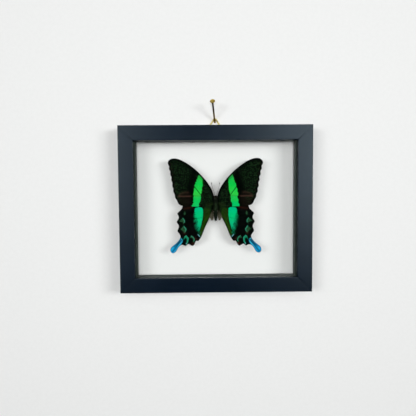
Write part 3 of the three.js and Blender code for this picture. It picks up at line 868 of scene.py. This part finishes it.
def make_wing(kind, word, side, margins, size, fields, rise, material):
    """A thin closed wing with raised veins, pleats between them and a slightly wavy edge."""
    front, back = (smooth_curve(points, size[0] + 1) for points in margins)
    across = np.linspace(0, 1, size[1] + 1)[None, :, None]
    grid = front[:, None] * (1 - across) + back[:, None] * across
    points = grid.reshape(-1, 2)
    count = len(points)
    x, z = points.T
    values = fields(points)
    ridge = 0.11 * bell(values["vein"], 0.3)
    pleat = 0.10 * ease(values["vein"], 0.3, 3.2)
    wave = 0.16 * np.exp(-values["edge"] / 5) * np.sin(0.62 * (x * side + 1.3 * z))
    wave += 0.1 * np.sin(0.19 * x * side + 0.15 * z)
    top_y = rise(x) - ridge + pleat + wave * ease(x, 4, 12)
    low_y = top_y + 0.05 + 0.13 * ease(values["edge"], 0, 0.9) + ridge * 1.3
    skins = [np.column_stack([x * side, y, z + FRAME_MIDDLE]) for y in (top_y, low_y)]
    here = np.arange(count).reshape(grid.shape[:2])
    quads = np.stack([here[:-1, :-1], here[1:, :-1], here[1:, 1:], here[:-1, 1:]], -1).reshape(-1, 4)
    loop = np.concatenate([here[0, :-1], here[:-1, -1], here[-1, :0:-1], here[:0:-1, 0]])
    after = np.roll(loop, -1)
    wall = np.stack([loop, after, after + count, loop + count], -1)
    faces = np.vstack([quads, quads[:, ::-1] + count, wall]).tolist()
    piece = make_object(f"{kind}_{word}_scaled", np.vstack(skins), faces, material, 70)
    for name, numbers in values.items():
        set_values(piece, name, np.tile(numbers, 2))
    set_values(piece, "side", np.repeat([0, 1], count))
    spoke_x, spoke_z = (points - WING_ROOT).T
    angle = np.arctan2(spoke_z, spoke_x) * 32
    flow = np.column_stack([angle, np.hypot(spoke_x, spoke_z) * 0.17, np.full(count, side * 9.0)])
    set_values(piece, "flow", np.tile(flow, (2, 1)))
    settle(piece, SPECIMEN, f"{kind}_scales", f"{kind}_{word}")


def make_wings(fore, hind):
    fore_margins = (FOREWING_LEADING, FOREWING_TRAILING)
    hind_margins = (HINDWING_LEADING, HINDWING_TRAILING)
    for word, side in (("left", -1), ("right", 1)):
        make_wing("forewing", word, side, fore_margins, FOREWING_SIZE, forewing_fields, arch_y, fore)
        make_wing("hindwing", word, side, hind_margins, HINDWING_SIZE, hindwing_fields, hindwing_y, hind)


# ---- body ----------------------------------------------------------------------------
# Stations down the body: height, half width, half depth, shift back.
BODY_STATIONS = np.array([
    (14.8, 0.5, 0.5, -0.2), (14.3, 1.3, 1.1, -0.2), (13.3, 1.9, 1.5, -0.1), (12.3, 1.9, 1.4, 0),
    (11.6, 1.9, 1.3, 0), (10.6, 2.1, 2.1, 0), (8.8, 2.6, 2.7, 0), (6.6, 2.8, 2.9, 0),
    (4, 2.7, 2.8, 0), (1.8, 2.3, 2.4, 0), (0, 1.7, 1.8, 0.1), (-1.4, 1.8, 1.9, 0.2),
    (-3.4, 2.1, 2.2, 0.3), (-5.8, 2.1, 2.2, 0.4), (-8.4, 1.8, 1.9, 0.5), (-11, 1.3, 1.4, 0.6),
    (-12.9, 0.8, 0.9, 0.7), (-13.6, 0.3, 0.4, 0.7),
])
ABDOMEN_TOP = -1.4
SEGMENT_LENGTH = 1.55
EYE_PLACE = (1.25, -0.5, 13.2)
EYE_RADII = (0.95, 1.0, 1.05)
PALP = [(0.5, -0.8, 13.6), (0.6, -1.7, 14.5), (0.5, -1.9, 15.3)]
ANTENNA = [
    (0.6, -0.8, 14), (1.5, -1.3, 17.4), (2.8, -1.6, 21.6), (3.9, -1.7, 25.4), (4.5, -1.7, 28),
    (4.7, -1.6, 29.6),
]
LEGS = [
    [(0.8, 2, 9.4), (2.5, 3.4, 11.6), (1.7, 4.3, 8.6), (1.3, 4.4, 5.2)],
    [(0.8, 2, 6.6), (3.2, 3.4, 4.4), (2.6, 4.3, 1.2), (2, 4.4, -2.2)],
    [(0.8, 2, 4), (2.4, 3.6, 0.8), (1.4, 4.3, -3.6), (0.9, 4.4, -7.6)],
]
LEG_KNOTS = (0.34, 0.66, 0.76, 0.85, 0.93)
# Lowest and highest root, and how many hairs: thorax, abdomen, head.
HAIR_TUFTS = [(-0.5, 11.4, 6200), (-12.6, -0.5, 1900), (12, 14.4, 900)]
FOLD_HAIRS = 2600


def body_place(points, side=1):
    return np.asarray(points, float) * (side, 1, 1) + (0, BODY_Y, FRAME_MIDDLE)


def body_section(z):
    """Half width, half depth and shift of the trunk at heights z."""
    heights, *columns = BODY_STATIONS[::-1].T
    width, depth, shift = (np.interp(z, heights, column) for column in columns)
    ring = np.abs(np.sin(np.pi * (z - ABDOMEN_TOP) / SEGMENT_LENGTH)) ** 0.5
    swell = np.where(z < ABDOMEN_TOP, 0.93 + 0.07 * ring, 1.0)
    return width * swell, depth * swell, shift


def trunk():
    heights = smooth_curve(BODY_STATIONS[:, :1], 190)[:, 0]
    flat = circle((1, 0, 0), (0, 1, 0), 56)
    sections = zip(heights, *body_section(heights))
    return skin([body_place(flat * (wide, deep, 1) + (0, shift, z)) for z, wide, deep, shift in sections])


def palp(side):
    return tube(body_place(smooth_curve(PALP, 14), side), np.linspace(0.36, 0.14, 14), 8)


def antenna(side):
    share = np.linspace(0, 1, 90)
    rings = 0.012 * np.sin(share * 230)
    radii = 0.14 - 0.03 * share + 0.3 * bell(share - 0.92, 0.055) + rings
    radii *= 1 - ease(share, 0.97, 1.0) * 0.7
    return tube(body_place(smooth_curve(ANTENNA, 90), side), radii, 10)


def leg(points, side):
    share = np.linspace(0, 1, 60)
    knots = sum(bell(share - knot, 0.02) for knot in LEG_KNOTS)
    radii = np.interp(share, [0, 0.33, 0.66, 1], [0.5, 0.38, 0.24, 0.12]) + 0.05 * knots
    return tube(body_place(smooth_curve(points, 60), side), radii, 8)


def make_body(material):
    parts = [(trunk(), 0)]
    for side in (-1, 1):
        eye = ellipsoid(body_place(EYE_PLACE, side), EYE_RADII)
        parts += [(eye, 1), (palp(side), 0), (antenna(side), 0)]
        parts += [(leg(points, side), 0) for points in LEGS]
    piece = make_object("butterfly_body_fine", *joined([part for part, _ in parts]), material, 60)
    counts = [len(part[0]) for part, _ in parts]
    set_values(piece, "eye", np.repeat([is_eye for _, is_eye in parts], counts))
    settle(piece, SPECIMEN, "insect_body", "butterfly_body")


def make_hair(name, slot, material, roots, directions, lengths, widths, tint, sag=0.0):
    """Hairs as bent flat blades, five points each, that sag by a share of their length."""
    directions = unit(directions)
    half = unit(np.cross(directions, (0.2, 1.0, 0.35))) * (widths / 2)[:, None]
    droop = np.outer(lengths, (0, 0, -sag))
    middle = roots + directions * (lengths * 0.55)[:, None] + droop * 0.3
    tip = roots + directions * lengths[:, None] + droop
    points = np.stack([roots - half, roots + half, middle + half * 0.8, middle - half * 0.8, tip], 1)
    start = np.arange(len(roots))[:, None] * 5
    faces = (start + [0, 1, 2, 3]).tolist() + (start + [3, 2, 4]).tolist()
    piece = make_object(name, points.reshape(-1, 3), faces, material, 180)
    set_values(piece, "tint", np.repeat(tint, 5))
    settle(piece, SPECIMEN, slot)


def make_body_hair(material):
    rng = np.random.default_rng(11)
    z = np.concatenate([rng.uniform(*tuft) for tuft in HAIR_TUFTS])
    count = len(z)
    turn = rng.uniform(0, 2 * math.pi, count)
    width, depth, shift = body_section(z)
    out = np.column_stack([np.cos(turn), np.sin(turn), np.zeros(count)])
    roots = np.column_stack([out[:, 0] * width * 0.98, out[:, 1] * depth * 0.98 + shift, z])
    abdomen = z < -0.5
    head = z > 11.6
    directions = out * np.where(abdomen, 0.28, 0.5)[:, None] + rng.normal(0, 0.28, (count, 3))
    directions[:, 2] += np.where(head, 0.8, -1.0)
    lengths = np.where(abdomen, 0.55, np.where(head, 0.75, 1.5)) * rng.uniform(0.6, 1.25, count)
    widths = rng.uniform(0.05, 0.09, count)
    tint = rng.random(count) * (0.05 + 0.95 * bell(roots[:, 0], 1.3))
    tint *= (0.15 + 0.85 * ease(8.8 - z, 0, 2.5)) * (0.3 + 0.6 * ease(z, -5, 0))
    hairs = (body_place(roots), directions, lengths, widths, tint)
    make_hair("butterfly_body_hair", "insect_body", material, *hairs, sag=0.12)


def make_fold_hair(material):
    """Silky hair along the hindwings' folded inner margins."""
    rng = np.random.default_rng(23)
    count = FOLD_HAIRS
    side = np.where(rng.random(count) < 0.5, -1.0, 1.0)
    z = rng.uniform(-11.6, -1, count)
    x = 2.9 + rng.random(count) * np.interp(-z, [1, 6, 12], [0.8, 2.8, 2.0])
    roots = np.column_stack([x * side, hindwing_y(x) - 0.05, z + FRAME_MIDDLE])
    directions = np.column_stack([0.16 * side, np.full(count, -0.12), np.full(count, -1.0)])
    directions += rng.normal(0, 0.1, (count, 3))
    lengths = rng.uniform(0.9, 2.2, count)
    widths = rng.uniform(0.05, 0.08, count)
    tint = rng.random(count) * ease(-z, 1, 9)
    make_hair("hindwing_fold_hair", "hindwing_scales", material, roots, directions, lengths, widths, tint)


def make_glue(material):
    low, high = box_of("glue_bead")
    middle = (low + high) / 2
    length = high[1] - low[1]
    share = np.linspace(0, 1, 22)
    radii = 0.78 + 0.12 * (1 - share) ** 3 + 0.3 * share**5
    profile = [(0, 0), *zip(radii, share * length), (0, length)]
    seat = (middle[0], low[1], middle[2])
    piece = make_object("glue_bead_fine", *turned(profile, seat, (0, 1, 0), 32), material)
    settle(piece, SPECIMEN, "clear_glue", "glue_bead")


# ---- hanger --------------------------------------------------------------------------
RING_WIRE = 1.6
RING_HALF_BASE = 8
RING_CORNER = 2
RING_TO_WALL = 0.05
RING_ON_NAIL = 0.35
BARREL_WALL = 0.7
BARREL_CLEARANCE = 0.25
BARREL_RADIUS = RING_WIRE / 2 + BARREL_CLEARANCE + BARREL_WALL
RING_AXIS = np.array([0, BACK_Y + BARREL_RADIUS, FRAME_TOP - 2])
STRAP_WIDTH = 8
STRAP_LENGTH = 8.8
STRAP_END_RADIUS = 3.2
STRAP_ARRIS = 0.14
STRAP_FACE = BACK_Y + BARREL_WALL
SCREW_Z = RING_AXIS[2] - 4.9
SCREW_HEAD_RADIUS = 2.3
SLOT_CORNERS = [(-3, -0.35), (3, -0.35), (3, 0.35), (-3, 0.35)]
NAIL_DIRECTION = np.array([-3, -21, 20])
NAIL_RADIUS = 0.95
NAIL_HEAD_RADIUS = 2.8
NAIL_BURIED = 13


def rounded_triangle(height):
    """The ring's centreline as (x, up), standing on its base."""
    corners = np.array([(-RING_HALF_BASE, 0), (RING_HALF_BASE, 0), (0, height)], float)
    path = []
    for i, corner in enumerate(corners):
        before = unit(corners[i - 1] - corner)
        after = unit(corners[(i + 1) % 3] - corner)
        half = math.acos(before @ after) / 2
        centre = corner + unit(before + after) * RING_CORNER / math.sin(half)
        x, up = corner + before * RING_CORNER / math.tan(half) - centre
        start = math.degrees(math.atan2(up, x))
        path += arc(centre, RING_CORNER, start, start + 180 - math.degrees(2 * half), 14)
    return np.array(path)


def make_ring(material):
    slope = -NAIL_DIRECTION[2] / NAIL_DIRECTION[1]
    apex_y = -RING_WIRE / 2 - RING_TO_WALL
    over_nail = (NAIL_RADIUS + RING_WIRE / 2 + RING_ON_NAIL) / math.cos(math.atan(slope))
    lift = np.array([0, apex_y, -apex_y * slope + over_nail]) - RING_AXIS
    height = np.linalg.norm(lift)
    tip = math.atan(RING_HALF_BASE / height)
    flat = rounded_triangle(height + RING_CORNER / math.sin(tip) - RING_CORNER)
    path = RING_AXIS + np.outer(flat[:, 0], (1, 0, 0)) + np.outer(flat[:, 1], lift / height)
    piece = make_object("hanger_ring_fine", *tube(path, RING_WIRE / 2, 24, wrap=True), material, 60)
    settle(piece, HANGER, "ring_brass", "hanger_ring")


def make_strap(material):
    """A sheet strip rolled round the ring's base, running down to a rounded end."""
    thick = BARREL_WALL / 2 - 0.06
    sheet_y = BACK_Y + BARREL_WALL / 2
    path = arc(RING_AXIS[1:], BARREL_RADIUS - BARREL_WALL / 2, -60, 180, 33)
    path += [(sheet_y, RING_AXIS[2] + z) for z in np.linspace(-0.4, -STRAP_LENGTH, 26)]
    path = np.array(path)
    rings = []
    for (y, z), (normal_y, normal_z) in zip(path, normals_of(np.gradient(path, axis=0))):
        below = RING_AXIS[2] - z
        half = STRAP_WIDTH / 2 - 0.8 * np.clip(below / 6, 0, 1)
        short = STRAP_END_RADIUS - max(STRAP_LENGTH + 0.02 - below, 0)
        if short > 0:
            half = min(half, math.sqrt(max(STRAP_END_RADIUS**2 - short**2, 0.01)))
        wide = half - STRAP_ARRIS
        deep = thick - STRAP_ARRIS
        outline = [
            (-half, -deep), (-wide, -thick), (wide, -thick), (half, -deep),
            (half, deep), (wide, thick), (-wide, thick), (-half, deep),
        ]
        rings.append([(x, y + normal_y * t, z + normal_z * t) for x, t in outline])
    piece = make_object("hanger_strap_rolled", *skin(rings), material, 45)
    settle(piece, SPECIMEN, "strap_brass", "hanger_strap")


def make_screw(material):
    head = SCREW_HEAD_RADIUS
    profile = [(0, -7.9), (0.4, -7.2), (1.0, -5.6)]
    profile += [(1.2 if i % 2 else 0.92, -5.4 + i * 0.24) for i in range(22)]
    profile += [(1.2, 0), (head - 0.1, 0), (head, 0.12), (head, 0.3)]
    profile += [(head * math.cos(t), 0.3 + math.sin(t)) for t in np.linspace(0.1, 1.5, 12)]
    seat = (0, STRAP_FACE, SCREW_Z)
    solid = make_object("hanger_screw_slotted", *turned(profile, seat, (0, 1, 0), 40), material, 35)
    slot = [[(x, STRAP_FACE + y, SCREW_Z + z) for x, z in SLOT_CORNERS] for y in (0.75, 2.75)]
    cutter = make_object("slot_cutter", *skin(slot), material)
    cut = solid.modifiers.new("slot", "BOOLEAN")
    cut.operation = "DIFFERENCE"
    cut.object = cutter
    shown = solid.evaluated_get(bpy.context.evaluated_depsgraph_get())
    slotted = bpy.data.meshes.new_from_object(shown)
    solid.modifiers.clear()
    solid.data = slotted
    bpy.data.objects.remove(cutter)
    settle(solid, SPECIMEN, "screw_brass", "hanger_screw")


def make_nail(material):
    length = float(np.linalg.norm(NAIL_DIRECTION))
    r = NAIL_HEAD_RADIUS
    shaft = NAIL_RADIUS
    profile = [(0, 0.03 - NAIL_BURIED), (0.3, 1.1 - NAIL_BURIED), (shaft, 3.2 - NAIL_BURIED)]
    profile += [(shaft, along) for along in np.linspace(-8, length - 4.4, 14)]
    for ring in range(4):
        base = length - 4.1 + ring * 0.4
        profile += [(shaft + 0.06, base), (shaft - 0.03, base + 0.2)]
    profile += [(shaft + 0.1, length - 2.1), (r * 0.55, length - 1.75), (r - 0.15, length - 1.3)]
    profile += [(r, length - 1.05), (r, length - 0.5)]
    for t in np.linspace(0.12, 1.52, 14):
        profile.append((r * math.cos(t) ** 0.85, length - 0.5 + 1.08 * math.sin(t)))
    piece = make_object("hanging_nail_fine", *turned(profile, (0, 0, 0), NAIL_DIRECTION, 48), material, 50)
    along = np.repeat([station[1] for station in profile], 48)
    set_values(piece, "head", along > length - 2)
    set_values(piece, "near_head", ease(along, length * 0.15, length * 0.6))
    settle(piece, HANGER, "nail_brass", "hanging_nail")


# ---- stage, lamps and camera ---------------------------------------------------------
def stage_plane(name, corners, material):
    mesh = bpy.data.meshes.new(name)
    mesh.from_pydata(corners, [], [[0, 1, 2, 3]])
    mesh.materials.append(material)
    plane = show(name, mesh)
    return plane


def wall_paint():
    """Matt wall paint. The wall shows on its room side only."""
    s = Shader("matt_wall_paint", Roughness=0.9, Specular_IOR_Level=0.15)
    roller = s.noise(260, 4, rough=0.6)
    s.clear_by(s.add("NewGeometry").outputs["Backfacing"])
    colour = s.mix(s.step(roller, 0.3, 0.7), rgb(236, 237, 236), rgb(238, 239, 238))
    return s.feed(Base_Color=colour, Normal=s.bump(roller, 0.06, 0.0004))


def floor_paint():
    s = Shader("pale_floor", Roughness=0.7)
    return s.feed(Base_Color=s.mix(s.noise(9, 3), rgb(226, 226, 224), rgb(232, 232, 230)))


# The floor's height in metres, where the wall begins too.
FLOOR_Z = -1.2


def make_stage():
    wall_corners = [(x, 0, z) for x, z in ((-3, FLOOR_Z), (3, FLOOR_Z), (3, 2.2), (-3, 2.2))]
    wall = stage_plane("wall", wall_corners, wall_paint())
    wall.visible_shadow = False
    floor_corners = [(x, y, FLOOR_Z) for x, y in ((-3, -4), (3, -4), (3, 3), (-3, 3))]
    floor = stage_plane("floor", floor_corners, floor_paint())
    floor.visible_diffuse = False
    floor.visible_glossy = False


def make_lamp(name, place, size, watts, glossy=False):
    """A soft rectangle of light that faces the middle of the frame."""
    lamp = bpy.data.lights.new(name, "AREA")
    lamp.shape = "RECTANGLE"
    lamp.size, lamp.size_y = size
    lamp.energy = watts
    thing = show(name, lamp)
    thing.location = place
    aim = Vector((0, 0, FRAME_MIDDLE * MM)) - Vector(place)
    thing.rotation_euler = aim.to_track_quat("-Z", "Y").to_euler()
    thing.visible_camera = False
    thing.visible_glossy = glossy
    thing.visible_transmission = False


def make_lamps():
    make_lamp("lamp_front", (-0.034, -1.2, -0.03), (0.24, 0.22), 5.4)
    make_lamp("lamp_right", (1.49, -1.98, 0.25), (1.15, 0.61), 26.2)
    make_lamp("lamp_left", (-1.28, -2.12, 0.25), (1.06, 0.61), 18.8)
    make_lamp("lamp_top", (0, -1.98, 0.87), (1.6, 0.7), 5)
    make_lamp("lamp_back_left", (-1.2, 1.6, 0.6), (1.2, 1.2), 22, glossy=True)
    make_lamp("lamp_back_right", (1.2, 1.6, 0.6), (1.2, 1.2), 16, glossy=True)


ROOM_LEVEL = 0.86
CONE_LIMIT = 3.2


def make_world():
    """Pale room light. Gloss sees it brighter upward and to both sides, and dark low in front."""
    world = bpy.data.worlds.new("studio")
    world.use_nodes = True
    bpy.context.scene.world = world
    s = Nodes(world.node_tree)

    def blend(share, off, on):
        return s.plus(off, s.times(share, s.math("SUBTRACT", on, off)))

    def rising(base, by_height):
        return s.plus(s.times(z, by_height), base)

    def beside(limit, slope):
        return s.math("MULTIPLY", s.math("SUBTRACT", limit, front), slope, clamp=True)

    x, y, z = s.add("SeparateXYZ", {0: s.add("TexCoord").outputs["Generated"]}).outputs
    front = s.times(y, -1.0)
    ahead = s.math("MAXIMUM", front, 0.1)
    aside = s.plus(s.math("DIVIDE", x, ahead), 0.02)
    spread = s.plus(s.times(aside, aside, 36.0), 0.015)
    rise = s.step(s.math("DIVIDE", z, ahead), -0.33, 0.07)
    cone = s.times(s.math("MINIMUM", spread, CONE_LIMIT), rise)
    gloss = blend(beside(0.86, 5.0), cone, rising(0.16, 0.12))
    path = s.add("LightPath").outputs
    level = blend(path["Is Glossy Ray"], rising(0.02, 0.012), gloss)
    level = blend(path["Is Camera Ray"], level, ROOM_LEVEL)
    is_glass = s.math("MAXIMUM", path["Is Singular Ray"], path["Is Transmission Ray"])
    level = blend(is_glass, level, s.times(rising(0.7, 0.3), beside(0.95, 10.0)))
    light = s.add("Background", {"Color": (1.0, 1.0, 0.995, 1.0), "Strength": level})
    s.add("OutputWorld", {"Surface": light.outputs[0]})


SENSOR = 36
FOCAL_PIXELS = 418.5
PHOTO_PIXELS = 416
CAMERA_PLACE = (-13.6, -477.4, -69.8)
CAMERA_TURNS = ((-0.65, "Z"), (0.41, "Y"), (90 - 3.26, "X"))


def make_camera():
    data = bpy.data.cameras.new("camera")
    data.sensor_width = SENSOR
    data.lens = FOCAL_PIXELS / PHOTO_PIXELS * SENSOR
    data.clip_start = 0.01
    data.clip_end = 30
    place = Matrix.Translation(Vector(CAMERA_PLACE) * MM)
    for degrees, axis in CAMERA_TURNS:
        place = place @ Matrix.Rotation(math.radians(degrees), 4, axis)
    camera = show("camera", data)
    camera.matrix_world = place
    bpy.context.scene.camera = camera


make_camera()
make_stage()
make_world()
make_lamps()
bpy.context.scene.view_settings.view_transform = "Standard"

make_rails(painted_wood())
make_stack(
    clear_glass(),
    stained_wood("spacer_grey_wood", rgb(38, 45, 42), rgb(54, 62, 58), 0.6),
    stained_wood("retainer_black_wood", rgb(12, 14, 15), rgb(26, 28, 30), 0.7),
)
make_wings(forewing_scales(), hindwing_scales())
make_body(insect_skin())
make_body_hair(fine_hair("body_hair", rgb(3, 5, 3), rgb(66, 92, 60)))
make_fold_hair(fine_hair("fold_hair", rgb(38, 36, 26), rgb(116, 114, 96)))
make_glue(clear_glue())
make_ring(brass("ring_brass_fine", rgb(218, 206, 132), rgb(176, 156, 84), 0.26))
make_strap(brass("strap_brass_fine", rgb(206, 180, 104), rgb(148, 120, 60), 0.28))
make_screw(brass("screw_brass_fine", rgb(212, 186, 110), rgb(140, 114, 58), 0.22))
make_nail(nail_brass())
